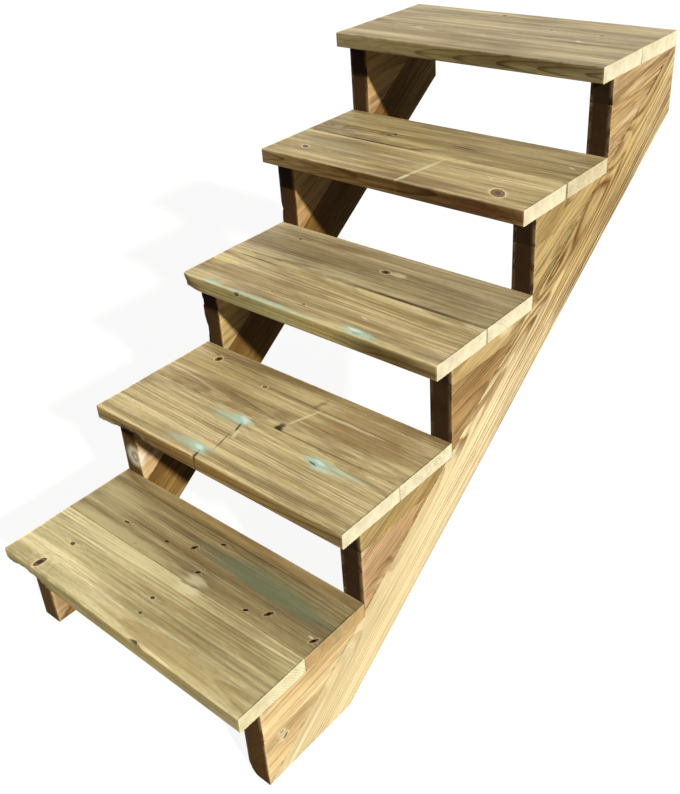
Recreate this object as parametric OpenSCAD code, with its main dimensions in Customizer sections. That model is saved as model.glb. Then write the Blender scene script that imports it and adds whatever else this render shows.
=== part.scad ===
// Straight flight of open deck stairs: two-board treads on two saw-tooth stringers.
// Each stringer is a sloping board with a glued-up block under every tread.
// The origin is the middle of the top tread's rear face, where the flight meets the deck.
// X runs along the treads, Y runs back towards the deck and Z is up.

/* [Flight] */
// Number of treads
steps = 5; // [2:1:8]
// Width of the flight, which is the length of each tread board
stair_w = 610; // [400:1:1200]
// Height from one tread to the next
rise = 175; // [140:1:220]
// Height of the lowest seat, the flat that the first tread rests on, above the ground
first_seat = 165; // [110:1:220]

/* [Treads] */
// Width of one tread board
board_w = 145; // [120:1:180]
// Thickness of a tread board
tread_t = 30; // [20:0.5:50]
// Gap between the two boards of a tread
board_gap = 1; // [0.5:0.5:10]
// How far a tread's front edge stands out past the upright face of its step
nosing = 41; // [15:1:60]

/* [Stringers] */
// Thickness of a stringer
stringer_t = 45; // [30:1:80]
// Width of the sloping board, square to its edges
slope_board_w = 113; // [80:1:180]
// How far the step corners cut into the sloping board, measured upright
corner_bite = 10; // [4:1:20]
// Depth of the glue line under each seat in the left stringer, lowest step first
glue_left = [58, 52, 60, 65, 70]; // [20:1:100]
// Depth of the glue line under each seat in the right stringer, lowest step first
glue_right = [62, 36, 30, 52, 48]; // [20:1:100]

/* [Hidden] */
sides = ["left", "right"];
layers = ["upper", "lower"];
boards = ["front", "rear"];

tread_d = 2 * board_w + board_gap;
// A tread's rear edge butts against the next step's upright face.
going = tread_d - nosing;
pitch = rise / going;
// Upright width of the sloping board
slope_board_h = slope_board_w * sqrt(1 + pitch * pitch);

// Step k counts from 1, the lowest.
function tread_front(k) = -tread_d - (steps - k) * going;
function seat_z(k) = -tread_t / 2 - (steps - k) * rise;
function riser_y(k) = tread_front(k) + nosing;
// The line through the step corners, and the glue line above it.
function corner_line(y) = seat_z(1) + pitch * (y - riser_y(2));
function glue_line(y) = corner_line(y) + corner_bite;
function glue_line_y(z) = riser_y(2) + (z - corner_bite - seat_z(1)) / pitch;
function glue_depth(side, k) =
    let (depths = side == "left" ? glue_left : glue_right) depths[(k - 1) % len(depths)];

plumb_y = 0;
ground_z = seat_z(1) - first_seat;
top_z = tread_t / 2;

tread_colour = [0.76, 0.69, 0.50];
slope_colour = [0.90, 0.82, 0.60];
upper_colour = [0.87, 0.77, 0.52];
lower_colour = [0.78, 0.65, 0.45];

// Side outlines are drawn with Y across and Z up, then given the stringer's thickness along X.
module on_side(side) {
    x = side == "left" ? -stair_w / 2 : stair_w / 2 - stringer_t;
    translate([x, 0, 0])
        rotate([90, 0, 90])
            linear_extrude(stringer_t) children();
}

// The space that a stringer may fill, from the first step's upright face to the deck.
module above_ground() {
    translate([riser_y(1), ground_z]) square([plumb_y - riser_y(1), top_z - ground_z]);
}

// One board of tread k, flush with both stringers' outer faces.
module tread_board(k, board) {
    y = tread_front(k) + (board == "rear" ? board_w + board_gap : 0);
    color(tread_colour)
        translate([-stair_w / 2, y, seat_z(k)])
            cube([stair_w, board_w, tread_t]);
}

// Sloping board: follows the glue line under each block and each seat between them.
module sloping_board(side) {
    first = riser_y(1);
    stepped_edge = [for (k = [1:steps]) each [
        [riser_y(k), glue_line(riser_y(k))],
        [glue_line_y(seat_z(k)), seat_z(k)],
        [riser_y(k) + going, seat_z(k)]
    ]];
    color(slope_colour) on_side(side) intersection() {
        polygon(concat(stepped_edge, [
            [plumb_y, glue_line(plumb_y) - slope_board_h],
            [first, glue_line(first) - slope_board_h]
        ]));
        above_ground();
    }
}

// The three-cornered block under step k, above the glue line.
module block_outline(k) {
    intersection() {
        polygon([
            [riser_y(k), seat_z(k)],
            [glue_line_y(seat_z(k)), seat_z(k)],
            [riser_y(k), glue_line(riser_y(k))]
        ]);
        above_ground();
    }
}

// One of the two strips that the block is glued up from, parted by a level line.
module block_layer(side, k, layer) {
    parting = seat_z(k) - glue_depth(side, k);
    low = layer == "upper" ? parting : seat_z(k) - rise;
    high = layer == "upper" ? seat_z(k) : parting;
    color(layer == "upper" ? upper_colour : lower_colour) on_side(side) intersection() {
        block_outline(k);
        translate([riser_y(k), low]) square([going, high - low]);
    }
}

for (k = [1:steps], b = boards)
    tread_board(k, b);
for (s = sides)
    sloping_board(s);
for (s = sides, k = [1:steps], l = layers)
    block_layer(s, k, l);
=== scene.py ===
# %% [markdown]
# # Open deck stairs in treated softwood
#
# The stairs are five treads of two boards each, carried by two stringers. Each stringer is a sloping board
# with three-cornered blocks glued on top to make the steps. The measured frame already holds the 32 pieces
# as plain solids. Here each one becomes timber: its arrises are eased, its faces cup and wave a little,
# cracks and bark edges are cut in, and its wood is a pattern that runs right through the piece.

# %% Load the frame
import math

import bmesh
import bpy
from mathutils import Matrix, Vector, noise


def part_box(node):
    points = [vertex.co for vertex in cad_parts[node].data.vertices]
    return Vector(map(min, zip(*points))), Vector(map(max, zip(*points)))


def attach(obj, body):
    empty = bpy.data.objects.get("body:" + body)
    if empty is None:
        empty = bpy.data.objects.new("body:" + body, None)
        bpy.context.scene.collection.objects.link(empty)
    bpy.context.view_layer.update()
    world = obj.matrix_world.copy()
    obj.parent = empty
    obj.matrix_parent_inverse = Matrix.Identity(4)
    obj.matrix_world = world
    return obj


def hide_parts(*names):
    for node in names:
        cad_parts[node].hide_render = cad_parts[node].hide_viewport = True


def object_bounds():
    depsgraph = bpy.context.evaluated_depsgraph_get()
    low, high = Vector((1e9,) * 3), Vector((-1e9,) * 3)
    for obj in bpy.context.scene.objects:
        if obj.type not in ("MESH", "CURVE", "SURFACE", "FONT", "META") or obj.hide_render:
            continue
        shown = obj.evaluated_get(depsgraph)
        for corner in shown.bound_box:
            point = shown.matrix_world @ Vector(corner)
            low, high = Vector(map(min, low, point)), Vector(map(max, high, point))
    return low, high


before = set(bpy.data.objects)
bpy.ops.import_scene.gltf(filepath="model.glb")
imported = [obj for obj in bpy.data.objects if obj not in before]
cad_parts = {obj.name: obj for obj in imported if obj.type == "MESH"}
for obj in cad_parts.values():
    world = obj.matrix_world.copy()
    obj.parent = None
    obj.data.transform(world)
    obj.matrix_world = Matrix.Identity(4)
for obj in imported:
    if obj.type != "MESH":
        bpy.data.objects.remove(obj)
cad_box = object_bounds()
MM = 0.001
print("frame:", len(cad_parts), "solids")
print("box:", [[round(c, 3) for c in corner] for corner in cad_box])

# %% [markdown]
# ## Sizes taken from the frame
#
# Nothing about the size of the stairs is typed in again. The run and the rise come from two neighbouring
# treads, so the script follows the frame if its sizes are changed.

# %% Measure the steps
low_tread, next_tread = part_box("tread_1_front"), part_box("tread_2_front")
going = next_tread[0][1] - low_tread[0][1]
rise = next_tread[0][2] - low_tread[0][2]
pitch = math.atan2(rise, going)
floor_level = cad_box[0][2]
print(f"going {going / MM:.0f} mm, rise {rise / MM:.0f} mm, pitch {math.degrees(pitch):.1f} degrees")

# %% [markdown]
# ## The camera
#
# A small camera is easiest to place as a stand point, a heading, a tilt and a roll. The lens shift
# slides the picture on the sensor without turning the camera, which keeps upright edges as they were seen.

# %% Stand the camera
camera_stand = Vector((1.088, -1.867, 0.496))
heading, tilt, roll = math.radians(43.9), math.radians(30.7), math.radians(4.85)
camera = bpy.data.objects.new("camera", bpy.data.cameras.new("camera"))
camera.data.lens = 44.5
camera.data.shift_x, camera.data.shift_y = 0.025, -0.059
camera.matrix_world = (
    Matrix.Translation(camera_stand)
    @ Matrix.Rotation(heading, 4, "Z")
    @ Matrix.Rotation(math.pi / 2 - tilt, 4, "X")
    @ Matrix.Rotation(-roll, 4, "Z")
)
bpy.context.scene.collection.objects.link(camera)
bpy.context.scene.camera = camera
print("camera stands", round(camera_stand.length, 2), "m from the deck edge")

# %% [markdown]
# ## Light and floor
#
# One low, clear light from the right and a little in front models the grain, a broad weak one from behind
# opens up the back, and an even fill keeps the shade readable. The floor is pale to the camera but throws
# little light back up, as a matt floor cloth would, so the undersides stay dark. Light Path tells a material
# what kind of ray has met it, so one mix gives the camera the pale floor and every other ray the dull one.


# %% Hang the two suns
def hang_sun(name, energy, spread, colour, toward):
    """A sun that shines from the direction toward; a wide spread, in degrees, makes its shadows soft."""
    sun = bpy.data.objects.new(name, bpy.data.lights.new(name, "SUN"))
    sun.data.energy = energy
    sun.data.angle = math.radians(spread)
    sun.data.color = colour
    sun.rotation_euler = Vector(toward).to_track_quat("Z", "Y").to_euler()
    bpy.context.scene.collection.objects.link(sun)
    print(f"{name}: energy {energy}, spread {spread} degrees")


hang_sun("key_light", 4.95, 2.5, (1.0, 0.965, 0.90), (2.8, -1.0, 1.66))
hang_sun("back_light", 1.5, 60, (1.0, 1.0, 1.0), (-1.3, 1.6, 0.7))


# %% Fill the room with light
def camera_or_other(tree, other, camera_only):
    """A mix of two shaders: one for rays from the camera, and one for all other rays."""
    rays = tree.nodes.new("ShaderNodeLightPath")
    either = tree.nodes.new("ShaderNodeMixShader")
    tree.links.new(rays.outputs["Is Camera Ray"], either.inputs["Fac"])
    tree.links.new(other, either.inputs[1])
    tree.links.new(camera_only, either.inputs[2])
    return either.outputs[0]


world = bpy.data.worlds.new("studio")
bpy.context.scene.world = world
world.use_nodes = True
studio = world.node_tree
fill = studio.nodes["Background"]
fill.inputs["Color"].default_value = (1.0, 0.96, 0.88, 1)
fill.inputs["Strength"].default_value = 0.18
backdrop = studio.nodes.new("ShaderNodeBackground")
backdrop.inputs["Color"].default_value = (1, 1, 1, 1)
room_light = camera_or_other(studio, fill.outputs[0], backdrop.outputs[0])
studio.links.new(room_light, studio.nodes["World Output"].inputs["Surface"])
bpy.context.scene.view_settings.view_transform = "Standard"
print("fill light", fill.inputs["Strength"].default_value)

# %% Lay the floor
FLOOR_RADIUS, FLOOR_GAP = 40, 0.3 * MM

floor_material = bpy.data.materials.new("floor_cloth")
floor_material.use_nodes = True
floor_tree = floor_material.node_tree
cloth = floor_tree.nodes["Principled BSDF"]
cloth.inputs["Base Color"].default_value = (0.10, 0.10, 0.10, 1)
cloth.inputs["Roughness"].default_value = 0.9
cloth.inputs["Specular IOR Level"].default_value = 0.1
pale = floor_tree.nodes.new("ShaderNodeEmission")
pale.inputs["Color"].default_value = (0.9, 0.9, 0.9, 1)
bright = floor_tree.nodes.new("ShaderNodeBsdfDiffuse")
bright.inputs["Color"].default_value = (0.13, 0.13, 0.13, 1)
both = floor_tree.nodes.new("ShaderNodeAddShader")
floor_tree.links.new(pale.outputs[0], both.inputs[0])
floor_tree.links.new(bright.outputs[0], both.inputs[1])
floor_look = camera_or_other(floor_tree, cloth.outputs[0], both.outputs[0])
floor_tree.links.new(floor_look, floor_tree.nodes["Material Output"].inputs["Surface"])

floor_mesh = bpy.data.meshes.new("floor")
floor_bm = bmesh.new()
bmesh.ops.create_circle(floor_bm, cap_ends=True, radius=FLOOR_RADIUS, segments=64)
bmesh.ops.translate(floor_bm, verts=floor_bm.verts, vec=(0, 0, floor_level - FLOOR_GAP))
floor_bm.to_mesh(floor_mesh)
floor_bm.free()
floor_mesh.materials.append(floor_material)
floor = bpy.data.objects.new("floor", floor_mesh)
bpy.context.scene.collection.objects.link(floor)
print("floor at", round(floor_level, 3), "m")

# %% [markdown]
# ## A short way to write nodes
#
# Wood needs many small sums. These helpers add a node, link what is already a socket and set what is a plain
# value, so that a group below reads like the formula it stands for.


# %% Node helpers
def feed(tree, socket, value):
    """Links a socket, or sets a plain value."""
    if isinstance(value, bpy.types.NodeSocket):
        tree.links.new(value, socket)
    elif socket.type == "RGBA" and len(value) == 3:
        socket.default_value = (*value, 1)
    else:
        socket.default_value = value


def calc(tree, operation, *values, clamp=False):
    node = tree.nodes.new("ShaderNodeMath")
    node.operation, node.use_clamp = operation, clamp
    for socket, value in zip(node.inputs, values):
        feed(tree, socket, value)
    return node.outputs[0]


def times(tree, value, by):
    return calc(tree, "MULTIPLY", value, by)


def times_add(tree, value, by, plus, clamp=False):
    """The value times by, with plus added."""
    return calc(tree, "MULTIPLY_ADD", value, by, plus, clamp=clamp)


def vector(tree, operation, *values):
    node = tree.nodes.new("ShaderNodeVectorMath")
    node.operation = operation
    for socket, value in zip(node.inputs, values):
        feed(tree, socket, value)
    return node.outputs["Value" if operation == "LENGTH" else "Vector"]


def scale(tree, value, by):
    node = tree.nodes.new("ShaderNodeVectorMath")
    node.operation = "SCALE"
    feed(tree, node.inputs[0], value)
    feed(tree, node.inputs["Scale"], by)
    return node.outputs["Vector"]


def turn_flat(tree, place, angle):
    """Turns a place about Z, which is the thickness of a board."""
    node = tree.nodes.new("ShaderNodeVectorRotate")
    node.rotation_type = "Z_AXIS"
    feed(tree, node.inputs["Vector"], place)
    feed(tree, node.inputs["Angle"], angle)
    return node.outputs[0]


print("sums, vectors and turns ready")


# %% Helpers that soften, blend and roughen
def step(tree, value, low, high):
    """0 below low and 1 above high, with a soft step between; low may be the larger, which turns it round."""
    node = tree.nodes.new("ShaderNodeMapRange")
    node.interpolation_type = "SMOOTHSTEP"
    for name, number in (("Value", value), ("From Min", low), ("From Max", high)):
        feed(tree, node.inputs[name], number)
    return node.outputs["Result"]


def blend(tree, amount, under, over, way="MIX"):
    node = tree.nodes.new("ShaderNodeMix")
    node.data_type, node.blend_type = "RGBA", way
    feed(tree, node.inputs["Factor"], amount)
    feed(tree, node.inputs[6], under)
    feed(tree, node.inputs[7], over)
    return node.outputs[2]


def grainy(tree, place, size, detail=2.0, rough=0.5):
    """Noise from 0 to 1, size being how many patches there are to a metre."""
    node = tree.nodes.new("ShaderNodeTexNoise")
    for name, value in (("Vector", place), ("Scale", size), ("Detail", detail), ("Roughness", rough)):
        feed(tree, node.inputs[name], value)
    return node.outputs[0]


print("steps, blends and noise ready")

# %% Helpers that make and place a group
KINDS = {"vector": "NodeSocketVector", "number": "NodeSocketFloat", "colour": "NodeSocketColor"}


def new_group(name, takes, gives):
    """A shader group from {"Input": default} and {"Output": kind}; returns its tree and its two ends."""
    tree = bpy.data.node_groups.new(name, "ShaderNodeTree")
    for label, default in takes.items():
        kind = "number" if isinstance(default, (int, float)) else "colour" if len(default) == 4 else "vector"
        socket = tree.interface.new_socket(label, in_out="INPUT", socket_type=KINDS[kind])
        socket.default_value = default
    for label, kind in gives.items():
        tree.interface.new_socket(label, in_out="OUTPUT", socket_type=KINDS[kind])
    return tree, tree.nodes.new("NodeGroupInput").outputs, tree.nodes.new("NodeGroupOutput").inputs


def use(tree, group, **values):
    """Places a group and returns its outputs; an input's name is written with _ for each space."""
    node = tree.nodes.new("ShaderNodeGroup")
    node.node_tree = group
    for name, value in values.items():
        feed(tree, node.inputs[name.replace("_", " ")], value)
    return node.outputs


def paint(code):
    """A paint code such as C8B98A, as the linear colour that shaders work in."""
    parts = [int(code[i : i + 2], 16) / 255 for i in (0, 2, 4)]
    return tuple(c / 12.92 if c <= 0.04045 else ((c + 0.055) / 1.055) ** 2.4 for c in parts)


print("kinds of socket:", ", ".join(KINDS))

# %% [markdown]
# ## Growth rings
#
# A tree lays down a pale soft layer and a thin dark hard one each year, in rings round its pith. If a material
# knows where the pith ran past the board, the distance to that line gives the rings, and one sum makes
# straight lines on the faces, long loops where the pith leans, and arcs on the sawn ends. The board's own
# coordinates run X along the grain, Y across its width and Z through its thickness.

# %% Growth ring group
RING_PARTS = ("Late", "Year", "Band")
rings, ring_in, ring_out = new_group(
    "growth_rings",
    {
        "Board": (0, 0, 0),
        "Pith": (0, 0, -0.08),
        "Lean": (0, 0.01, 0.01),
        "Spacing": 0.005,
        "Wander": 0.004,
        "Push": 0.0,
        "Seed": 0.0,
    },
    dict.fromkeys(RING_PARTS, "number"),
)
seed_at = scale(rings, (7.3, 3.1, 5.7), ring_in["Seed"])
apart = rings.nodes.new("ShaderNodeSeparateXYZ")
feed(rings, apart.inputs[0], ring_in["Board"])
pith_here = vector(rings, "ADD", scale(rings, ring_in["Lean"], apart.outputs["X"]), ring_in["Pith"])
across = vector(rings, "MULTIPLY", vector(rings, "SUBTRACT", ring_in["Board"], pith_here), (0, 1, 1))
print("ring group gives", ", ".join(RING_PARTS))

# %% Waves in the rings
slow_place = vector(rings, "MULTIPLY_ADD", ring_in["Board"], (1.5, 9, 9), seed_at)
slow_wave = calc(rings, "SUBTRACT", grainy(rings, slow_place, 1, 1.5), 0.5)
slow_size = times(rings, ring_in["Wander"], 4.0)
quick_place = vector(rings, "MULTIPLY_ADD", ring_in["Board"], (4.5, 45, 45), seed_at)
quick_wave = calc(rings, "SUBTRACT", grainy(rings, quick_place, 1, 2.5), 0.5)
quick_size = times(rings, ring_in["Spacing"], 0.9)
waved = times_add(rings, slow_wave, slow_size, ring_in["Push"])
waved = times_add(rings, quick_wave, quick_size, waved)
from_pith = calc(rings, "ADD", vector(rings, "LENGTH", across), waved)
years = calc(rings, "DIVIDE", from_pith, ring_in["Spacing"])
print("rings waved:", len(rings.nodes), "nodes")

# %% From years to late wood
through_year = calc(rings, "FRACT", years)
darkening, ending = step(rings, through_year, 0.30, 0.90), step(rings, through_year, 1.0, 0.92)
feed(rings, ring_out["Late"], times(rings, darkening, ending))
one_year = rings.nodes.new("ShaderNodeTexWhiteNoise")
one_year.noise_dimensions = "1D"
feed(rings, one_year.inputs["W"], calc(rings, "ADD", calc(rings, "FLOOR", years), ring_in["Seed"]))
feed(rings, ring_out["Year"], one_year.outputs["Value"])
few_years = rings.nodes.new("ShaderNodeTexNoise")
few_years.noise_dimensions = "1D"
feed(rings, few_years.inputs["W"], times_add(rings, years, 0.31, ring_in["Seed"]))
feed(rings, ring_out["Band"], few_years.outputs[0])
print("ring group:", len(rings.nodes), "nodes")

# %% [markdown]
# ## Fibre
#
# Between the rings, planed pine shows fine streaks along the grain and short dark flecks, which are its resin
# ducts. Broader patches drift over them, where the board took up more or less of the treatment. All are noise
# stretched along X, by more or by less.


# %% Fibre group
FIBRE_PARTS = ("Streak", "Fleck", "Drift", "Cloud")
fibres, fibre_in, fibre_out = new_group(
    "wood_fibre", {"Board": (0, 0, 0), "Seed": 0.0}, dict.fromkeys(FIBRE_PARTS, "number")
)
seed_at = scale(fibres, (1.7, 9.1, 4.3), fibre_in["Seed"])


def stretched(patches):
    """The place on the board, drawn out along the grain; patches is how many there are to a metre each way."""
    return vector(fibres, "MULTIPLY_ADD", fibre_in["Board"], patches, seed_at)


streaks, dashes = stretched((4, 190, 190)), stretched((55, 330, 330))
long_streak = times(fibres, grainy(fibres, streaks, 1, 4, 0.62), 0.72)
streak = times_add(fibres, grainy(fibres, dashes, 1, 3, 0.6), 0.28, long_streak)
feed(fibres, fibre_out["Streak"], streak)
ducts = stretched((45, 900, 900))
feed(fibres, fibre_out["Fleck"], step(fibres, grainy(fibres, ducts, 1, 1), 0.66, 0.74))
feed(fibres, fibre_out["Drift"], grainy(fibres, stretched((1.6, 42, 42)), 1, 3, 0.55))
clouds = vector(fibres, "MULTIPLY_ADD", fibre_in["Board"], (3.2, 19, 19), (11, 5, 17))
clouds = vector(fibres, "ADD", clouds, seed_at)
feed(fibres, fibre_out["Cloud"], step(fibres, grainy(fibres, clouds, 1, 4, 0.6), 0.3, 0.7))
print("fibre group:", len(fibres.nodes), "nodes")

# %% [markdown]
# ## Knots
#
# A knot is a branch cut through. It has a dark heart with its own tight rings, a nearly black rim of bark, a
# pale swelling round it, and it pushes the growth rings aside. Each knot is one copy of this group, and they
# are threaded one after another: what a knot is given, it hands on with its own part added. A knot normally
# runs through the whole thickness. Through can give it a height as well, for one that shows on one face only.

# %% Knot group
KNOT_PARTS = ("Heart", "Eye", "Rim", "Halo", "Push")
knots, knot_in, knot_out = new_group(
    "knot",
    {
        "Board": (0, 0, 0),
        "Place": (0, 0, 0),
        "Size": (0.01, 0.006, 1),
        "Through": (1, 1, 0),
        "Slant": 0.0,
        "Dark": 1.0,
        "Halo": 1.0,
        "Swell": 0.006,
        **{f"{part} so far": 0.0 for part in KNOT_PARTS},
    },
    dict.fromkeys(KNOT_PARTS, "number"),
)
from_place = vector(knots, "SUBTRACT", knot_in["Board"], knot_in["Place"])
from_heart = vector(knots, "MULTIPLY", from_place, knot_in["Through"])
turned = turn_flat(knots, from_heart, knot_in["Slant"])
reach = vector(knots, "LENGTH", vector(knots, "DIVIDE", turned, knot_in["Size"]))
rough_edge = calc(knots, "SUBTRACT", grainy(knots, knot_in["Board"], 150, 2), 0.5)
uneven = times_add(knots, rough_edge, times(knots, reach, 0.36), reach)
print("knot group gives", ", ".join(KNOT_PARTS))

# %% Heart, eye, rim and halo
heart = times(knots, step(knots, uneven, 1.04, 0.86), knot_in["Dark"])
from_middle = vector(knots, "LENGTH", from_heart)
branch_ring = step(knots, calc(knots, "FRACT", times(knots, uneven, 3.2)), 0.35, 0.95)
small_eye, wide_eye = step(knots, from_middle, 5.6 * MM, 3.0 * MM), step(knots, uneven, 0.68, 0.42)
eye = calc(knots, "MAXIMUM", small_eye, wide_eye)
eye = calc(knots, "MAXIMUM", eye, times(knots, branch_ring, 0.55))
eye = times(knots, eye, heart)
off_rim = calc(knots, "ABSOLUTE", calc(knots, "SUBTRACT", uneven, 1.0))
rim = times(knots, step(knots, off_rim, 0.20, 0.04), knot_in["Dark"])
halo = times(knots, step(knots, uneven, 1.75, 1.15), knot_in["Halo"])
print("knot drawn:", len(knots.nodes), "nodes")

# %% The push on the rings
pushed_size = vector(knots, "MULTIPLY", knot_in["Size"], (3.6, 1.8, 1))
aside = vector(knots, "LENGTH", vector(knots, "DIVIDE", turned, pushed_size))
aside_squared = calc(knots, "POWER", aside, 2.0)
bell = calc(knots, "EXPONENT", times(knots, aside_squared, -1.0))
push = times(knots, bell, knot_in["Swell"])
for label, own in (("Heart", heart), ("Eye", eye), ("Rim", rim), ("Halo", halo)):
    feed(knots, knot_out[label], calc(knots, "MAXIMUM", own, knot_in[f"{label} so far"]))
feed(knots, knot_out["Push"], calc(knots, "ADD", push, knot_in["Push so far"]))
print("knot group:", len(knots.nodes), "nodes")

# %% [markdown]
# ## Stains
#
# Pressure treatment leaves green and bluish patches where the salts dried, and sap leaves brown ones. A stain
# is a soft oval, longer along the grain. Torn sets how much noise frays its outline.

# %% Stain group
stains, stain_in, stain_out = new_group(
    "stain",
    {
        "Board": (0, 0, 0),
        "Place": (0, 0, 0),
        "Size": (0.03, 0.01, 1),
        "Slant": 0.0,
        "Strength": 1.0,
        "Torn": 1.0,
    },
    {"Stain": "number"},
)
from_place = vector(stains, "SUBTRACT", stain_in["Board"], stain_in["Place"])
turned = turn_flat(stains, from_place, stain_in["Slant"])
reach = vector(stains, "LENGTH", vector(stains, "DIVIDE", turned, stain_in["Size"]))
frayed = grainy(stains, vector(stains, "MULTIPLY", stain_in["Board"], (22, 150, 150)), 1, 3, 0.6)
torn = times_add(stains, calc(stains, "SUBTRACT", frayed, 0.5), stain_in["Torn"], reach)
stain = times(stains, step(stains, torn, 1.15, 0.35), stain_in["Strength"])
feed(stains, stain_out["Stain"], stain)
print("stain group:", len(stains.nodes), "nodes")

# %% [markdown]
# ## The whole timber colour
#
# One group mixes the wood from its parts, and each board gives it its own colours. It returns the colour, the
# roughness and a height for the bump. The mesh brings three values of its own, which the carving below writes
# on its points: where the face is sawn end grain, where an arris is rounded, and where a crack or bark edge
# lies. The band along a rounded arris is painted paler, which is wear and a painted highlight. A crack is
# painted dark as painted shade, and a bark edge is dark in its own colour. On the front edge of a tread the
# rings are cut across, so there the lines are thinner and sharper.

# %% Timber group
timber, timber_in, timber_out = new_group(
    "treated_timber",
    {
        "Board": (0, 0, 0),
        **dict.fromkeys(("Year", "Band", "Streak", "Drift", "Cloud"), 0.5),
        **dict.fromkeys(("Late", "Fleck", "Heart", "Eye", "Rim", "Halo", "Sawn", "Worn", "Cracked"), 0.0),
        "Early wood": (0.5, 0.4, 0.2, 1),
        "Late wood": (0.2, 0.1, 0.05, 1),
        "Tinge": (0.3, 0.3, 0.15, 1),
        "Sawn wood": (0.8, 0.7, 0.4, 1),
        "Contrast": 0.6,
        "Edge contrast": 0.0,
    },
    {"Colour": "colour", "Roughness": "number", "Height": "number"},
)
early_wood, late_wood = timber_in["Early wood"], timber_in["Late wood"]
print("timber group takes", len(timber_in) - 1, "values")

# %% Lines and bands of late wood
FACE_ENDS, EDGE_STARTS = -70.5 * MM, -72 * MM

apart = timber.nodes.new("ShaderNodeSeparateXYZ")
feed(timber, apart.inputs[0], timber_in["Board"])
on_edge = step(timber, apart.outputs["Y"], FACE_ENDS, EDGE_STARTS)
front_edge = times(timber, on_edge, timber_in["Edge contrast"])
thinness = times_add(timber, front_edge, 5.0, 1.0)
thin_late = calc(timber, "POWER", timber_in["Late"], thinness)
year_strength = times(timber, thin_late, step(timber, timber_in["Year"], -0.5, 0.9))
contrast_here = calc(timber, "ADD", front_edge, timber_in["Contrast"])
patchy = times_add(timber, timber_in["Cloud"], -0.65, 1.0)
line_strength = times(timber, times(timber, year_strength, contrast_here), patchy)
band_share = times_add(timber, front_edge, -0.9, 0.55)
bands = times(timber, step(timber, timber_in["Band"], 0.45, 0.72), band_share)
print("ring lines:", len(timber.nodes), "nodes")

# %% Face wood
tinged = step(timber, timber_in["Drift"], 0.38, 0.68)
wood = blend(timber, tinged, early_wood, timber_in["Tinge"])
wood = blend(timber, times(timber, bands, timber_in["Contrast"]), wood, late_wood)
wood = blend(timber, line_strength, wood, late_wood)
streaky = times_add(timber, calc(timber, "SUBTRACT", timber_in["Streak"], 0.5), 1.95, 1.0)
dark_cloud = times(timber, step(timber, timber_in["Cloud"], 0.45, 0.0), 0.3)
wood = blend(timber, dark_cloud, wood, late_wood)
cloudy = times_add(timber, timber_in["Cloud"], 0.34, 0.86)
wood = scale(timber, wood, times(timber, streaky, cloudy))
print("with face wood:", len(timber.nodes), "nodes")

# %% Knots, ducts and bark rims
halo_wood = blend(timber, 0.6, early_wood, (0.86, 0.73, 0.42))
wood = blend(timber, times(timber, timber_in["Halo"], 0.85), wood, halo_wood)
wood = blend(timber, times(timber, timber_in["Fleck"], 0.35), wood, (0.10, 0.06, 0.025))
heart_wood = blend(timber, timber_in["Eye"], paint("8E5A2E"), paint("28160A"))
wood = blend(timber, timber_in["Heart"], wood, heart_wood)
wood = blend(timber, times(timber, timber_in["Rim"], 0.85), wood, paint("33200F"))
print("with knots:", len(timber.nodes), "nodes")

# %% Sawn ends, arrises painted paler as wear and highlight, and cracks painted dark as shade
sawn_wood = timber_in["Sawn wood"]
dark_sawn = scale(timber, sawn_wood, 0.5)
sawn_lines = blend(timber, times(timber, year_strength, 0.38), sawn_wood, dark_sawn)
pores = grainy(timber, timber_in["Board"], 900, 2)
porous = times_add(timber, pores, 0.5, 0.75)
soaked = times_add(timber, grainy(timber, timber_in["Board"], 26, 4, 0.62), 0.9, 0.55)
sawn_lines = scale(timber, sawn_lines, times(timber, porous, soaked))
wood = blend(timber, timber_in["Sawn"], wood, sawn_lines)
blotch = grainy(timber, timber_in["Board"], 38, 3)
# Paler along rounded arrises: wear, and a painted highlight.
worn = times(timber, timber_in["Worn"], step(timber, blotch, 0.35, 0.6))
wood = blend(timber, times(timber, worn, 0.35), wood, scale(timber, early_wood, 1.35))
# Cracks are painted dark as painted shade in them. Bark edges are dark in their own colour.
wood = blend(timber, timber_in["Cracked"], wood, paint("2A1B0E"))
feed(timber, timber_out["Colour"], wood)
print("with sawn ends:", len(timber.nodes), "nodes")

# %% Roughness and relief
dull = times_add(timber, timber_in["Streak"], 0.22, 0.58)
dull = times_add(timber, year_strength, -0.10, dull)
dull = times_add(timber, timber_in["Heart"], -0.16, dull)
dull = times_add(timber, timber_in["Sawn"], 0.15, dull, clamp=True)
feed(timber, timber_out["Roughness"], dull)
raised_lines = times(timber, year_strength, 0.5)
relief = times_add(timber, timber_in["Streak"], 0.45, raised_lines)
relief = times_add(timber, timber_in["Fleck"], -0.3, relief)
relief = times_add(timber, timber_in["Heart"], 0.5, relief)
relief = times_add(timber, timber_in["Rim"], -0.7, relief)
relief = times_add(timber, times(timber, pores, timber_in["Sawn"]), 1.2, relief)
feed(timber, timber_out["Height"], relief)
print("timber group:", len(timber.nodes), "nodes")

# %% [markdown]
# ## A board and its material
#
# Every board gets its own material, because no two boards were sawn from the same place in a tree. A wood is
# a set of four paints: the soft early wood, the hard late wood, a tinge that drifts over it, and the sawn end.

# %% Woods
WOODS = {
    "olive": ("D0BF90", "765830", "A59263", "DED4B4"),
    "grey": ("BAAB84", "6E5737", "988862", "E0D6B6"),
    "sap": ("DCCFA0", "8E7640", "C0B486", "DAD1AA"),
    "cream": ("DCCCA2", "7E5A2A", "C4B084", "A88E60"),
    "tan": ("B99C70", "70522E", "9F8354", "38240B"),
    "umber": ("A58658", "5C401E", "8C6E42", "38240B"),
    "pink": ("BFA078", "80603A", "AE8E62", "38240B"),
    "straw": ("B49C6A", "6A5228", "9C8350", "3A260C"),
    "honey": ("D1B98A", "A4804D", "C2A777", "6E4C20"),
}
print("woods:", ", ".join(WOODS))

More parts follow.
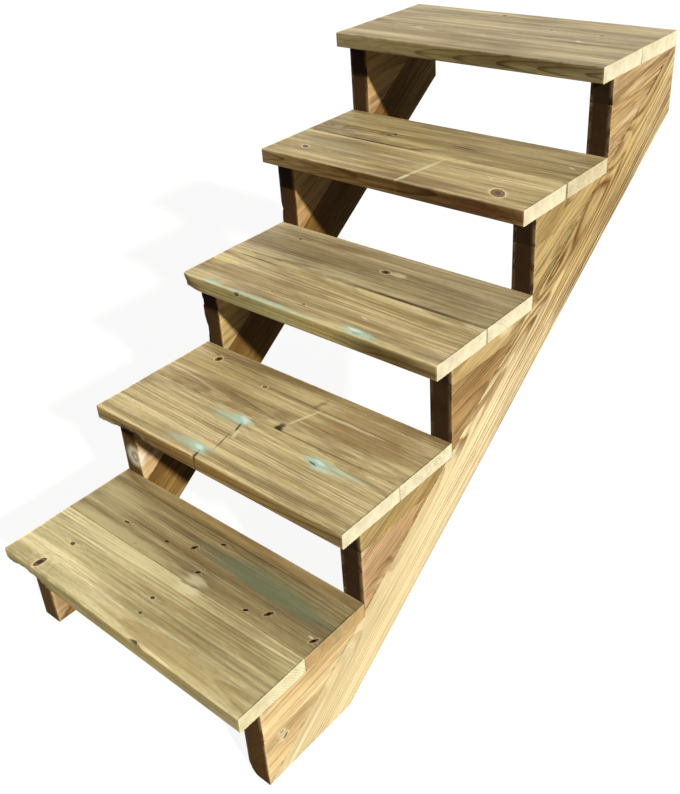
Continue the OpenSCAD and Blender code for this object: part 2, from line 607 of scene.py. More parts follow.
# %% [markdown]
# ## How a knot and a stain are written down
#
# All places and lengths are in millimetres from the middle of the board, and a slant is in degrees.
#
# - A knot is (along, across, length, width, slant, dark, halo), with a height at the end if it shows on one
#   face only. A knot with dark 0 is a swirl: it has no heart, and its halo is how far it pushes the rings.
# - A stain is (along, across, length, width, slant, strength, paint). It reaches through the whole board,
#   unless a height and a thickness follow. A paint that starts with x darkens the wood like a filter, and
#   any other covers it. Thin stains and those with a height have a crisp outline, the others a frayed one.


# %% Knots and stains in a material
STAIN_DEPTH, KNOT_DEPTH = 4000, 10
CRISP, FRAYED, THIN_STAIN = 0.3, 1.1, 6
SWELL_SHARE = 0.7


def numbers(values):
    """Millimetres to metres, as a vector."""
    return Vector([v * MM for v in values])


def grow_knots(tree, board, knot_list):
    """Threads one knot group after another, and returns what they add up to."""
    grown = dict.fromkeys(KNOT_PARTS, 0.0)
    for along, across, long, wide, slant, dark, halo, *up in knot_list:
        linked = {part: value for part, value in grown.items() if isinstance(value, bpy.types.NodeSocket)}
        made = use(
            tree, knots, Board=board, Slant=math.radians(slant), Dark=dark, Halo=halo * (dark > 0),
            Place=numbers((along, across, *(up or [0]))), Through=(1, 1, 1 if up else 0),
            Size=(long / 2 * MM, wide / 2 * MM, KNOT_DEPTH / 2 * MM if up else 1),
            Swell=(halo if dark == 0 else SWELL_SHARE * min(long, wide)) * MM,
            **{f"{part}_so_far": value for part, value in linked.items()},
        )
        grown = {part: made[part] for part in KNOT_PARTS}
    return grown


def lay_stains(tree, board, colour, stain_list):
    """Lays one stain after another over the colour."""
    for along, across, long, wide, slant, strength, code, *upright in stain_list:
        up, high = upright or (0, STAIN_DEPTH)
        patch = use(
            tree, stains, Board=board, Slant=math.radians(slant), Strength=strength,
            Place=numbers((along, across, up)), Size=numbers((long / 2, wide / 2, high / 2)),
            Torn=CRISP if upright or wide < THIN_STAIN else FRAYED,
        )
        way = "MULTIPLY" if code[0] == "x" else "MIX"
        colour = blend(tree, patch["Stain"], colour, paint(code.strip("x")), way)
    return colour


print("a knot swells the rings by", SWELL_SHARE, "of its smaller size")


# %% The material of one board
EDGE_CONTRAST = 0.5
BUMP_STRENGTH, BUMP_HEIGHT = 0.55, 0.6 * MM


def wood_material(name, wood, pith, lean, spacing, wander, seed, contrast, knot_list, stain_list, turn,
                  end_paint):
    """The procedural wood of one board, turned about Z where the board slopes or its grain does."""
    material = bpy.data.materials.new(name)
    material.use_nodes = True
    tree = material.node_tree
    surface = tree.nodes["Principled BSDF"]
    board = tree.nodes.new("ShaderNodeTexCoord").outputs["Object"]
    if turn:
        board = turn_flat(tree, board, -turn)
    grown = grow_knots(tree, board, knot_list)
    ring = use(
        tree, rings, Board=board, Pith=numbers((0, *pith)), Lean=(0, *lean), Seed=seed,
        Spacing=spacing * MM, Wander=wander * MM, Push=grown.pop("Push"),
    )
    fibre = use(tree, fibres, Board=board, Seed=seed)
    carved = {}
    for label in ("sawn", "worn", "cracked"):
        mark = tree.nodes.new("ShaderNodeAttribute")
        mark.attribute_name = label
        carved[label.capitalize()] = mark.outputs["Fac"]
    early, late, tinge, sawn = (paint(code) for code in WOODS[wood])
    mixed = use(
        tree, timber, Board=board, Early_wood=early, Late_wood=late, Tinge=tinge,
        Sawn_wood=paint(end_paint) if end_paint else sawn,
        Contrast=contrast, Edge_contrast=EDGE_CONTRAST if "tread" in name else 0.0,
        **{part: ring[part] for part in RING_PARTS},
        **{part: fibre[part] for part in FIBRE_PARTS},
        **grown,
        **carved,
    )
    colour = lay_stains(tree, board, mixed["Colour"], stain_list)
    tree.links.new(colour, surface.inputs["Base Color"])
    tree.links.new(mixed["Roughness"], surface.inputs["Roughness"])
    bump = tree.nodes.new("ShaderNodeBump")
    bump.inputs["Strength"].default_value = BUMP_STRENGTH
    bump.inputs["Distance"].default_value = BUMP_HEIGHT
    tree.links.new(mixed["Height"], bump.inputs["Height"])
    tree.links.new(bump.outputs[0], surface.inputs["Normal"])
    surface.inputs["Specular IOR Level"].default_value = 0.22
    return material


print("a board's wood is ready to use")

# %% [markdown]
# ## Carving a board
#
# A planed board isn't a box. Its long arrises are rounded, its faces cup and wave by a fraction of a
# millimetre, it splits along the grain, and where the saw met the outside of the log the arris is missing.
# The solid from the frame is sliced into small cells, and then every point is moved inwards, never out, so
# that the board stays in its measured place.


# %% Turn a solid into board coordinates
def board_frame(node):
    """X along the grain, Y across the width and Z through the thickness, with the origin at the centre."""
    low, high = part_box(node)
    centre = Matrix.Translation((Vector(low) + Vector(high)) / 2)
    along_y = Matrix(((0, 0, 1, 0), (1, 0, 0, 0), (0, 1, 0, 0), (0, 0, 0, 1)))
    return centre if node.startswith("tread") else centre @ along_y


def clean_solid(node, to_board):
    """The node's solid with its triangles merged back into whole faces."""
    solid = bmesh.new()
    solid.from_mesh(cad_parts[node].data)
    bmesh.ops.remove_doubles(solid, verts=solid.verts, dist=0.01 * MM)
    bmesh.ops.dissolve_limit(solid, angle_limit=0.002, verts=solid.verts, edges=solid.edges)
    bmesh.ops.transform(solid, matrix=to_board.inverted(), verts=solid.verts)
    return solid


print("lowest front board is centred at", [round(c, 3) for c in board_frame("tread_1_front").translation])


# %% Round the arrises and slice the faces
def ease(solid, pick, width, segments):
    """Rounds the arrises that pick chooses, and returns where they were."""
    chosen = [e for e in solid.edges if e.is_manifold and e.calc_face_angle() > 0.3 and pick(e)]
    lines = [(e.verts[0].co.copy(), e.verts[1].co.copy()) for e in chosen]
    bmesh.ops.bevel(
        solid, geom=chosen, offset=width, segments=segments, profile=0.5, affect="EDGES", clamp_overlap=True
    )
    return lines


def slice_up(solid, cells, extra=()):
    """Cuts the solid by planes across each axis, about cells apart, and by the extra (axis, place) planes."""
    planes = list(extra)
    for axis in range(3):
        spots = [v.co[axis] for v in solid.verts]
        low, high = min(spots), max(spots)
        count = max(1, round((high - low) / cells[axis]))
        planes += [(axis, low + (high - low) * i / count) for i in range(1, count)]
    for axis, at in planes:
        normal = Vector([float(axis == i) for i in range(3)])
        everything = solid.verts[:] + solid.edges[:] + solid.faces[:]
        bmesh.ops.bisect_plane(solid, geom=everything, dist=1e-6, plane_co=normal * at, plane_no=normal)


def line_distance(point, start, end):
    along = end - start
    share = max(0, min(1, (point - start).dot(along) / along.length_squared))
    return (point - start - along * share).length


def fade(value):
    """1 at 0 or less and 0 at 1 or more, with a soft step between."""
    value = max(0, min(1, value))
    return 1 - value * value * (3 - 2 * value)


print("carving helpers ready")

# %% [markdown]
# ## Cracks and bites
#
# A crack is (from, to, across, width, depth), cut into the upper face. A bite is (spot, size, depth, bark):
# an oval that is pushed in towards the middle of the board, as on a worn corner. With bark above 0 its outline
# is ragged and its wood dark, as where the bark was left on.


# %% Move the points inwards
# The band along a rounded arris that is painted paler, as wear and a painted highlight.
WEAR_SHEEN_WIDTH = 4 * MM
INWARDS_SHARE = 0.87


def crack_depth(at, cracks, seed):
    """How deep the cracks are at a point, and how much painted shade they put into its colour."""
    deepest, crack_shade = 0, 0
    for start, end, across, width, deep in cracks:
        middle, reach = (start + end) / 2, (end - start) / 2
        wander = 1.2 * MM * noise.noise(Vector((at.x * 40, across * 50, seed)))
        taper = fade(abs(at.x - middle) / reach) * fade(abs(at.y - across - wander) / width)
        deepest += deep * taper
        crack_shade = max(crack_shade, min(1, taper * 2))
    return deepest, crack_shade


def weather(solid, arrises, seed, wave, cup, cracks, bites, glued, squareness):
    """Waves and cups the faces, opens cracks, takes bites, and marks what the wood needs to know.

    The narrow faces of a glued timber stay flat, so that its joints stay tight. A face counts as sawn when it
    looks along the grain by more than squareness.
    """
    sawn = solid.verts.layers.float.new("sawn")
    worn = solid.verts.layers.float.new("worn")
    cracked = solid.verts.layers.float.new("cracked")
    half_width = max(abs(v.co.y) for v in solid.verts)
    solid.normal_update()
    moves = []
    for v in solid.verts:
        at = v.co
        flat = abs(v.normal.z) > 0.8
        v[sawn] = float(any(abs(f.normal.x) > squareness for f in v.link_faces))
        # Nearness to a rounded arris, which the wood paints paler: wear and a painted highlight.
        v[worn] = fade(min((line_distance(at, *line) for line in arrises), default=1) / WEAR_SHEEN_WIDTH)
        lump = noise.noise(Vector((at.x * 9, at.y * 28, at.z * 28)) + Vector((seed, seed * 2.3, 0)))
        depth = wave * (0.5 + 0.5 * lump) * (flat or not glued)
        if flat:
            depth += cup * (1 - (at.y / half_width) ** 2)
        inwards = -v.normal * depth
        if flat and at.z > 0:
            deep, dark = crack_depth(at, cracks, seed)
            inwards.z -= deep
            # The crack is also painted dark: painted shade in the crack.
            v[cracked] = dark
        for spot, size, deep, bark in bites:
            reach = Vector([(a - b) / c for a, b, c in zip(at, spot, size)]).length
            ragged = 0.25 * noise.noise(at * 160 + Vector((seed, 0, 0))) * (bark > 0)
            toward = (Vector((at.x * INWARDS_SHARE, 0, 0)) - at).normalized()
            inwards += toward * deep * fade(reach + ragged)
            # A bark edge is dark wood of its own.
            v[cracked] = max(v[cracked], bark * fade(max(0, reach + ragged - 0.15) * 1.3))
        moves.append((v, inwards))
    for v, inwards in moves:
        v.co += inwards


print("points move towards", INWARDS_SHARE, "of their own place along the board")

# %% Make one board
SHARP_ANGLE = math.radians(40)


def make_board(node, wood, pith=(0, -80), lean=(0, 0), spacing=5.0, wander=2.4, seed=0.0, contrast=0.6,
               knot_list=(), stain_list=(), crack_list=(), bite_list=(), eases=(), cells=(4, 4, 5),
               wave=0.35, cup=0.4, grain=0, end_paint=None):
    """One timber, carved from its solid and given its wood. It rides on the frame and stands for its node."""
    placed = board_frame(node)
    turn = pitch if "sloping" in node else 0
    solid = clean_solid(node, placed @ Matrix.Rotation(turn, 4, "Z"))
    arrises = []
    for pick, width, segments in eases:
        arrises += ease(solid, pick, width * MM, segments)
    cracks = [tuple(value * MM for value in crack) for crack in crack_list]
    beside = (-1, -0.5, 0, 0.5, 1)
    slice_up(solid, numbers(cells), [(1, crack[2] + side * crack[3]) for crack in cracks for side in beside])
    bites = [(numbers(spot), numbers(size), deep * MM, bark) for spot, size, deep, bark in bite_list]
    weather(solid, arrises, seed, wave * MM, cup * MM, cracks, bites,
            glued=not node.startswith("tread"), squareness=0.5 if turn else 0.9)
    bmesh.ops.rotate(solid, verts=solid.verts, matrix=Matrix.Rotation(turn, 3, "Z"))
    mesh = bpy.data.meshes.new(f"{node}_timber")
    solid.to_mesh(mesh)
    solid.free()
    for face in mesh.polygons:
        face.use_smooth = True
    mesh.set_sharp_from_angle(angle=SHARP_ANGLE)
    mesh.materials.append(
        wood_material(f"{node}_wood", wood, pith, lean, spacing, wander, seed, contrast,
                      knot_list, stain_list, turn + math.radians(grain), end_paint)
    )
    board = bpy.data.objects.new(f"{node}_timber", mesh)
    board.matrix_world = placed
    bpy.context.scene.collection.objects.link(board)
    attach(board, "root")
    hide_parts(node)
    print(f"{node}: {len(mesh.polygons)} faces")


print("boards to carve:", len(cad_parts))

# %% [markdown]
# ## The treads
#
# Each tread board is listed with what marks it out: where its pith ran (across, through), how that line leans
# along the board, how far apart its rings are, and then its knots, stains, cracks and bites. The seed sets the
# chance part of its grain, so it must differ from board to board.

# %% Paints for the stains
END = (low_tread[1][0] - low_tread[0][0]) / 2 / MM
MINT, FROST, PALE, WHITE = "AED4C0", "DDF0E2", "E9DFB6", "F4F0E0"
SMOKE, TAN, SHADE = "9A9C7C", "9C7A48", "34240F"


def edge_filter(code):
    """A filter over the whole front edge of a tread."""
    return (0, -74, 1200, 8, 0, 1, "x" + code, 0, 80)


def board_filter(strength, code):
    """A filter over a whole board."""
    return (0, 0, 1400, 500, 0, strength, "x" + code)


print("stain paints:", MINT, FROST, PALE, WHITE, SMOKE, TAN, SHADE)


# %% Which arrises of a tread are rounded
def mid(edge):
    return (edge.verts[0].co + edge.verts[1].co) / 2


def runs_along(edge):
    start, end = (vert.co for vert in edge.verts)
    return abs((end - start).normalized().x) > 0.99 and edge.calc_length() > 30 * MM


def tread_eases(part):
    """The outer long arris is rounded well, the inner one hardly, and the sawn ends a little."""
    side = -1 if part == "front" else 1
    outer, inner, ends = 2.6 if part == "front" else 1.6, 0.7, 0.8
    return [
        (lambda e: runs_along(e) and mid(e).y * side > 60 * MM, outer, 3),
        (lambda e: runs_along(e) and mid(e).y * side < -60 * MM, inner, 2),
        (lambda e: all(abs(v.co.x) > (END - 0.1) * MM for v in e.verts), ends, 2),
    ]


def make_tread(number, part, wood, **marks):
    make_board(f"tread_{number}_{part}", wood, eases=tread_eases(part), **marks)


print("arris widths of a front board:", [width for _, width, _ in tread_eases("front")])

# %% Fifth tread, at the deck
make_tread(
    5, "front", "grey", pith=(-100, -2), lean=(0.03, 0.006), spacing=3.0, seed=1.4, contrast=0.55,
    knot_list=[(-171, 39, 12, 8, 20, 0.5, 0.9)],
    stain_list=[
        (-5, 55, 60, 16, 5, 0.35, TAN), (179, 66, 14, 8, 0, 0.7, WHITE), (-90, -6, 330, 16, 0, 0.45, TAN),
        (-160, 30, 90, 7, 8, 0.5, PALE), edge_filter("BDB79A"), (0, 71.5, 620, 2.6, 0, 0.6, SHADE),
        (40, -30, 380, 9, 0, 0.4, TAN),
    ],
)
make_tread(
    5, "rear", "grey", pith=(70, -80), lean=(-0.01, 0.02), spacing=4.0, seed=2.9, contrast=0.6,
    knot_list=[
        (-62, 47, 12, 8, 0, 1, 0.5), (89, -22, 10, 7, 10, 0.9, 0.6), (199, -24, 11, 8, 0, 0.9, 0.6),
    ],
    stain_list=[
        (-60, -56, 190, 14, 0, 0.5, TAN), (-230, 30, 120, 30, 0, 0.3, SMOKE),
        (120, 30, 360, 14, 0, 0.4, TAN),
    ],
)

# %% Fourth tread
make_tread(
    4, "front", "olive", pith=(-102, 3), lean=(-0.03, 0.008), spacing=3.4, seed=4.2, contrast=0.68,
    knot_list=[
        (-236, -15, 18, 11, 25, 1, 1), (226, -28, 34, 21, 42, 0.9, 1), (191, 24, 18, 12, 0, 0.3, 1),
    ],
    stain_list=[
        (60, -36, 420, 18, 2, 0.5, "84622F"), (-200, 20, 190, 60, 0, 0.3, "A0A272"),
        (38, -52, 11, 44, 8, 0.8, PALE), (45, 8, 12, 120, 8, 0.6, PALE), edge_filter("8C7248"),
        (230, -74, 240, 8, 0, 0.8, "xC08858", 0, 60), (-150, 71.5, 320, 3.4, 0, 0.9, SHADE),
    ],
    bite_list=[((305, 72, 0), (16, 9, 60), 2.4, 0.3)],
)
make_tread(
    4, "rear", "olive", pith=(-66, -75), lean=(-0.01, 0.03), spacing=4.0, seed=5.7, contrast=0.66,
    knot_list=[
        (-130, -24, 13, 9, 0, 0.8, 0.6), (-120, -14, 9, 7, 30, 0.9, 0.3),
        (-258, -32, 14, 11, 0, 0.35, 0.5),
    ],
    stain_list=[
        (-132, -22, 60, 40, 10, 0.4, "6E6A55"), (-106, -44, 36, 12, 0, 0.6, PALE),
        (50, -14, 90, 9, 0, 0.6, SHADE), (277, -8, 22, 5, 20, 0.8, WHITE), (-60, 20, 420, 16, 0, 0.4, TAN),
        (-150, -71.5, 320, 3, 0, 0.9, SHADE), board_filter(0.7, "DCD8C8"),
    ],
    crack_list=[(14, 88, -14, 1.2, 3)],
)

# %% Third tread
make_tread(
    3, "front", "olive", pith=(64, -66), lean=(0.01, 0.03), spacing=3.8, seed=7.1, contrast=0.62,
    knot_list=[
        (130, -62, 19, 10, 10, 1, 0.6), (-152, -73, 13, 9, 0, 1, 0.6, 13), (-15, -34, 8, 6, 0, 0.8, 0.6),
        (-98, -30, 8, 6, 0, 0.7, 0.6),
    ],
    stain_list=[
        (130, -60, 90, 26, 3, 0.75, MINT), (122, -56, 34, 10, 0, 0.8, FROST),
        (-224, -68, 40, 7, 0, 0.6, FROST), (-90, -67, 300, 13, 0, 0.5, MINT),
        (-224, -64, 60, 14, 0, 0.55, MINT), (150, 71.2, 400, 4, 0, 0.95, SHADE),
        (110, -14, 26, 4, 15, 0.7, PALE), (-280, 17, 60, 60, 0, 0.4, "DCCB84"),
        (200, -35, 210, 8, 3, 0.6, TAN), (-225, 55, 170, 4.5, 0, 0.9, SHADE), edge_filter("CDCBB0"),
        (210, -74, 300, 8, 0, 0.9, "xA8906A", -4, 40), (20, 20, 420, 10, 0, 0.4, TAN),
    ],
    bite_list=[((-312, -78, -12), (56, 22, 24), 9, 0), ((-314, -80, 12), (30, 26, 30), 7, 0)],
)
make_tread(
    3, "rear", "grey", pith=(-72, -60), lean=(0.01, 0.02), spacing=3.8, seed=8.8, contrast=0.64,
    knot_list=[(30, 2, 19, 12, 0, 1, 0.8), (-212, 27, 9, 7, 0, 0.8, 0.5)],
    stain_list=[
        (58, 4, 44, 18, 0, 0.5, PALE), (150, -71.2, 400, 3.4, 0, 0.95, SHADE),
        (-40, 40, 420, 12, 0, 0.4, TAN),
    ],
)

# %% Second tread
make_tread(
    2, "front", "olive", pith=(70, -64), lean=(-0.02, 0.02), spacing=4.0, seed=10.3, contrast=0.66,
    knot_list=[
        (-41, 60, 14, 8, 30, 0.9, 0.6), (154, 41, 13, 8, 0, 0.9, 0.6), (-41, -50, 13, 8, 20, 0.9, 0.6),
    ],
    stain_list=[
        (-44, 56, 60, 30, 12, 0.6, MINT), (-64, 52, 120, 26, -6, 0.45, MINT),
        (-70, -46, 130, 24, -4, 0.45, MINT), (154, 41, 60, 26, 8, 0.75, MINT),
        (176, 40, 120, 34, 0, 0.35, MINT), (215, 46, 130, 9, 0, 0.4, MINT),
        (-46, -50, 60, 26, 8, 0.6, MINT), (-38, 60, 30, 14, 20, 0.8, FROST),
        (158, 44, 30, 10, 8, 0.8, FROST), (-44, -46, 26, 12, 10, 0.8, FROST),
        (172, 30, 70, 10, -6, 0.35, FROST), (-31, 36, 6, 30, -20, 0.9, SHADE),
        (-20, 18, 10, 30, -20, 0.6, PALE), (148, 36, 24, 5, 10, 0.8, SHADE),
        (-34, -64, 6, 24, -15, 0.9, SHADE), (-25, -8, 4, 60, -14, 0.7, SHADE),
        (100, -20, 380, 9, 0, 0.45, TAN), edge_filter("B8A27C"), (140, 71.5, 330, 3, 0, 0.55, SHADE),
        (-150, 71.5, 260, 2.6, 0, 0.5, SHADE),
    ],
    bite_list=[((-220, -73, -14), (90, 12, 18), 6, 0.95), ((-33, -73, 14), (6, 14, 8), 2.5, 0.8)],
)
make_tread(
    2, "rear", "olive", pith=(-60, -72), lean=(0.02, -0.02), spacing=4.0, seed=11.6, contrast=0.68,
    knot_list=[(-234, 35, 13, 15, 0, 1, 1), (-85, 15, 11, 8, 0, 0.8, 1)],
    stain_list=[
        (170, 12, 300, 120, 0, 0.55, "866436"), (-160, -30, 190, 50, 0, 0.35, "8C6C3E"),
        (122, 11, 170, 9, 0, 0.6, PALE), (46, -20, 7, 100, 18, 0.6, PALE),
        (30, -62, 20, 24, 20, 0.85, SHADE), (10, -40, 50, 40, 15, 0.4, "6B5230"),
        (44, 30, 14, 44, 12, 0.4, SHADE), (140, -71.5, 330, 3, 0, 0.5, SHADE),
    ],
    bite_list=[((29, -72, 15), (16, 11, 10), 4, 0.9)],
)

# %% First tread, the lowest
make_tread(
    1, "front", "sap", pith=(-50, -85), lean=(0.01, 0.02), spacing=4.6, seed=13.5, contrast=0.58,
    knot_list=[
        (-212, 12, 10, 8, 0, 0.9, 0.9), (12, 13, 9, 7, 0, 0.9, 0.8), (22, -22, 8, 6, 0, 0.9, 0.4),
        (-220, -54, 12, 24, 5, 1, 1),
    ],
    stain_list=[
        (0, 26, 560, 7, 0, 0.4, TAN), (30, -10, 500, 6, 0, 0.5, TAN), (-40, -20, 380, 6, 0, 0.4, TAN),
        (63, -74, 46, 6, 0, 0.9, SHADE, 9, 14), edge_filter("E2DCC4"), (41, 62, 60, 30, 0, 0.6, "EBE2BC"),
        (28, 70, 26, 5, 0, 0.7, SHADE), (-60, 55, 420, 44, 0, 0.45, "E2D7A4"),
        (120, -50, 400, 40, 0, 0.45, "A98E54"), (100, 45, 380, 6, 0, 0.4, TAN),
    ],
    bite_list=[
        ((63, -73, 14), (24, 8, 10), 4, 0.9), ((41, 73, 15), (20, 6, 9), 2, 0.4),
        ((-250, -73, -15), (90, 14, 16), 7, 0.9),
    ],
)
make_tread(
    1, "rear", "grey", pith=(66, -60), lean=(-0.01, 0.02), spacing=3.8, seed=14.8, contrast=0.64,
    end_paint="C8AA7A",
    knot_list=[
        (14, 31, 10, 5, -20, 1, 0.3), (-23, -6, 14, 7, -62, 1, 0.5), (-76, -25, 10, 5, -12, 1, 0.3),
        (-178, -35, 12, 4, -8, 1, 0.3), (-119, -64, 8, 5, -50, 1, 0.3), (29, -45, 10, 5, -30, 1, 0.3),
        (195, -40, 16, 7, -60, 1, 0.5), (159, -57, 9, 5, -30, 1, 0.3), (292, -38, 15, 6, -62, 1, 0.8),
    ],
    stain_list=[
        (150, 2, 360, 64, 0, 0.75, "7E8C70"), board_filter(0.8, "DEDACB"),
        (0, 60, 700, 26, 0, 0.45, "B09058"), (0, 45, 640, 5, 0, 0.65, "54401F"),
        (284, -35, 13, 5, 0, 0.5, WHITE), (41, -60, 56, 26, 0, 0.6, "E4DAB4"),
        (-160, -62, 420, 36, 0, 0.55, "D8CB98"), (40, -20, 460, 12, 0, 0.4, TAN),
        (-240, 0, 160, 80, 0, 0.4, "C8BC8C"),
    ],
    bite_list=[((41, -73, 15), (20, 6, 9), 2, 0.4)],
)

# %% [markdown]
# ## The stringers
#
# The wide face of a stringer timber is seen from the side, so its thickness runs across the stairs. The
# blocks are offcuts, each turned its own way, which shows in the slope of their grain. Their sawn ends face
# forward and have soaked up more of the treatment, so they are much darker than the faces. Their paints also
# hold painted light: the ends of the upper strips are darker as painted shade under the nosing, and a few low
# ends are paler as painted sunlight.


# %% Which arrises of a stringer are rounded
def sloping_eases():
    def underside(edge):
        return runs_along(edge) and mid(edge).y < -40 * MM

    def cut_end(edge):
        normals = [face.normal for face in edge.link_faces]
        return any(abs(n.x) > 0.5 and not (n.x > 0.5 and n.y > 0.5) for n in normals)

    return [(underside, 2.2, 2), (cut_end, 0.7, 1)]


def block_eases(node):
    """The two upright arrises of the riser face."""
    riser = (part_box(node)[0][1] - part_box(node)[1][1]) / 2
    return [(lambda e: all(v.co.x < riser + 0.1 * MM for v in e.verts) and abs(mid(e).z) > 20 * MM, 1.4, 2)]


print("arris widths of a sloping board:", [width for _, width, _ in sloping_eases()])

# %% [markdown]
# ## Bark edges and the worn foot
#
# Three strips of the left blocks were sawn so near the outside of the log that bark shows on their riser
# faces, and the right foot is worn round. A block's bite is given from the middle of its riser face: back
# along the grain, up, and across to the right. The foot is one corner of two pieces, so both are bitten there.

# %% Bites of the blocks and of the toe
foot_low, foot_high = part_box("right_block_1_lower")
half_height = (foot_high[2] - foot_low[2]) / 2 / MM
BLOCK_BITES = {
    "right_block_1_lower": [((0, -half_height - 4, -26), (16, 30, 22), 9, 0)],
    "left_block_3_lower": [((0, -10, -25), (22, 46, 12), 6, 0.9)],
    "left_block_3_upper": [((0, -30, -25), (18, 24, 10), 4, 0.9)],
    "left_block_4_lower": [((0, 0, -25), (14, 20, 9), 3, 0.9)],
}
foot_corner = Vector((foot_low[0], foot_low[1], floor_level))
to_slope = board_frame("right_sloping_board") @ Matrix.Rotation(pitch, 4, "Z")
WORN_TOE = [([value / MM for value in to_slope.inverted() @ foot_corner], (34, 30, 20), 10, 0)]
print("foot corner on the sloping board:", [round(value) for value in WORN_TOE[0][0]])

# %% Sloping boards
SLOPE_SIZES = {"eases": sloping_eases(), "cells": (10, 10, 11), "wave": 0.4, "cup": 0.3}

make_board(
    "right_sloping_board", "cream", pith=(4, 78), lean=(0.01, 0.03), spacing=6.5, wander=7, seed=20.5,
    contrast=1.05, bite_list=WORN_TOE,
    knot_list=[
        (500, 2, 50, 30, 4, 0, 24), (352, 10, 44, 26, -6, 0, 20), (215, -4, 56, 28, 6, 0, 27),
        (70, 8, 40, 24, 0, 0, 17), (-60, 4, 60, 22, 0, 0, 12), (-450, 0, 50, 30, 0, 0, 15),
    ],
    stain_list=[
        (430, 0, 900, 300, 0, 0.9, "xD8C8A6"), (-500, 0, 760, 320, 0, 0.6, "D8C698"),
        (-100, -40, 900, 22, 0, 0.45, "E8DAB2"),
    ],
    **SLOPE_SIZES,
)
make_board(
    "left_sloping_board", "cream", pith=(-10, -65), lean=(-0.01, 0.012), spacing=8, wander=16, seed=22.1,
    contrast=0.6,
    knot_list=[
        (-260, -10, 26, 18, 10, 0.8, 0.8), (210, 24, 20, 14, 0, 0.7, 0.8), (20, 0, 90, 40, 0, 0, 14),
    ],
    # The second stain darkens the inner face, which faces the other stringer: painted shade, and a deeper soak
    # of the treatment.
    stain_list=[(0, 0, 1800, 200, 0, 0.6, "94763F"), (0, 0, 3000, 600, 0, 1, "xA08A62", 23, 40)],
    **SLOPE_SIZES,
)

# %% [markdown]
# ## The blocks
#
# Each block is one entry: the wood of its upper strip, the wood of its lower one, how far its grain slopes in
# degrees, and its knots. The rings are drawn more strongly on the right side than on the left one, and least
# on the lowest blocks, which are clear and pale. The riser faces get their own paint for the sawn end, and
# that paint holds painted shade and painted sunlight as well.

# %% What marks each block
RIGHT_BLOCKS = {
    5: ("tan", "tan", 8, [(-60, -14, 9, 7, 0, 0.5, 0.8)]),
    4: ("straw", "straw", 29, [(-30, -18, 34, 30, 0, 0, 16), (40, 10, 30, 24, 0, 0, -10)]),
    3: ("straw", "umber", 14, []),
    2: ("straw", "pink", 24, [(10, 0, 40, 30, 0, 0, 12)]),
    1: ("honey", "honey", 6,
        [(-31, 42, 10, 5, 20, 0.8, 1), (-26, 26, 12, 6, -30, 1, 1), (-42, 33, 8, 4, 10, 0.7, 0.8)]),
}
LEFT_BLOCKS = {
    5: ("umber", "tan", 10, []),
    4: ("straw", "umber", 22, []),
    3: ("tan", "straw", 14, []),
    2: ("umber", "tan", 18, []),
    1: ("honey", "tan", 6, []),
}
BLOCK_STAINS = {
    "right_block_5_upper": [(-30, -6, 150, 12, 0, 0.6, "D8C294"), (40, 14, 120, 8, 0, 0.5, "D8C294")],
    "right_block_5_lower": [(0, 20, 130, 14, 0, 0.55, "D8C294"),
                            (-120, -36, 60, 14, 0, 0.5, "9C835C", -20, 16)],
    "right_block_4_lower": [(-120, 20, 60, 4, 0, 0.4, "8E7350", -4, 30)],
    "right_block_3_upper": [(10, 0, 200, 60, 0, 0.4, "CDB482"), (46, 8, 56, 40, 30, 0.6, "E6D6AA")],
    "right_block_2_upper": [board_filter(1, "EAE8E2")],
    "right_block_2_lower": [(-120, 8, 60, 8, 0, 0.5, "C8B490", -18, 8)],
    "right_block_1_lower": [(-32, 34, 30, 32, 0, 0.3, "E2DDB2")],
    # The pale knot on this riser is painted nearly white: the knot is pale, and part of its brightness is
    # painted sunlight.
    "left_block_2_lower": [(-80, 33, 60, 58, 0, 0.95, "F4ECD2", 8, 54),
                           (-80, 33, 36, 36, 0, 0.9, "3A2710", 9, 32),
                           (-80, 33, 20, 22, 0, 0.9, "F4ECD2", 9, 20)],
    "left_block_1_upper": [(-110, -10, 30, 18, 0, 0.8, "C8B080", 6, 20)],
}
print("blocks with marks of their own:", len(BLOCK_STAINS))

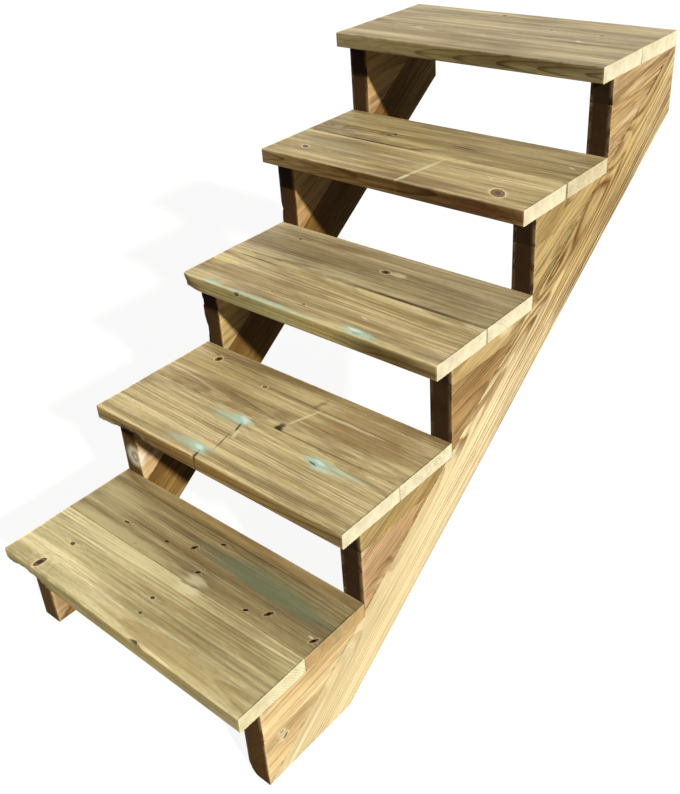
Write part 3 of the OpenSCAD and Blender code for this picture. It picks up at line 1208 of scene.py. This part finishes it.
# %% Paints of the riser faces, with painted shade and painted sunlight
# The upper strips get a darker end than the lower ones: painted shade from the nosing above. The third paint,
# for the ends listed below, is paler still: painted sunlight.
END_PAINTS_WITH_SHADE = {
    "right": {"upper": "2C1B08", "lower": "38240C", "painted_sunlit": "5C401A"},
    "left": {"upper": "2E1B0B", "lower": "452D13", "painted_sunlit": "604622"},
}
PAINTED_SUNLIT_ENDS = (
    "right_block_1_upper", "right_block_1_lower",
    "left_block_1_upper", "left_block_1_lower", "left_block_2_lower",
)
print("riser faces with the paler paint:", len(PAINTED_SUNLIT_ENDS))

# %% Make the blocks
COARSE, FINE = (8, 8, 9), (5, 5, 5)
SIDES = {
    "right": {"blocks": RIGHT_BLOCKS, "pith_depth": 64, "spacing": 5.5, "contrast": 0.75, "seed": 0},
    "left": {"blocks": LEFT_BLOCKS, "pith_depth": -64, "spacing": 7.5, "contrast": 0.45, "seed": 41},
}
CLEAR_CONTRAST = 0.28


def make_block(side, number, layer, wood, slope, block_knots):
    """One strip of a block. Bitten ones are sliced finer, so that the bite has enough points to shape."""
    node, looks = f"{side}_block_{number}_{layer}", SIDES[side]
    riser = (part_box(node)[0][1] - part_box(node)[1][1]) / 2 / MM
    bites = [((riser + back, up, out), *rest) for (back, up, out), *rest in BLOCK_BITES.get(node, ())]
    make_board(
        node, wood, pith=(-34 + 14 * number, looks["pith_depth"]), lean=(0.02, 0.03),
        spacing=looks["spacing"], wander=8, wave=0.15, cup=0, grain=slope,
        seed=30 + number * 3.7 + looks["seed"] + (layer == "lower") * 5,
        contrast=CLEAR_CONTRAST if number == 1 else looks["contrast"],
        knot_list=block_knots if layer == "lower" or number == 4 else (),
        stain_list=BLOCK_STAINS.get(node, ()), bite_list=bites,
        eases=block_eases(node), cells=FINE if bites else COARSE,
        # The end paint carries the painted shade of the upper strips and the painted sunlight of the listed
        # ends.
        end_paint=END_PAINTS_WITH_SHADE[side]["painted_sunlit" if node in PAINTED_SUNLIT_ENDS else layer],
    )


for side, looks in SIDES.items():
    for number, (upper_wood, lower_wood, slope, block_knots) in looks["blocks"].items():
        make_block(side, number, "upper", upper_wood, slope, block_knots)
        make_block(side, number, "lower", lower_wood, slope, block_knots)
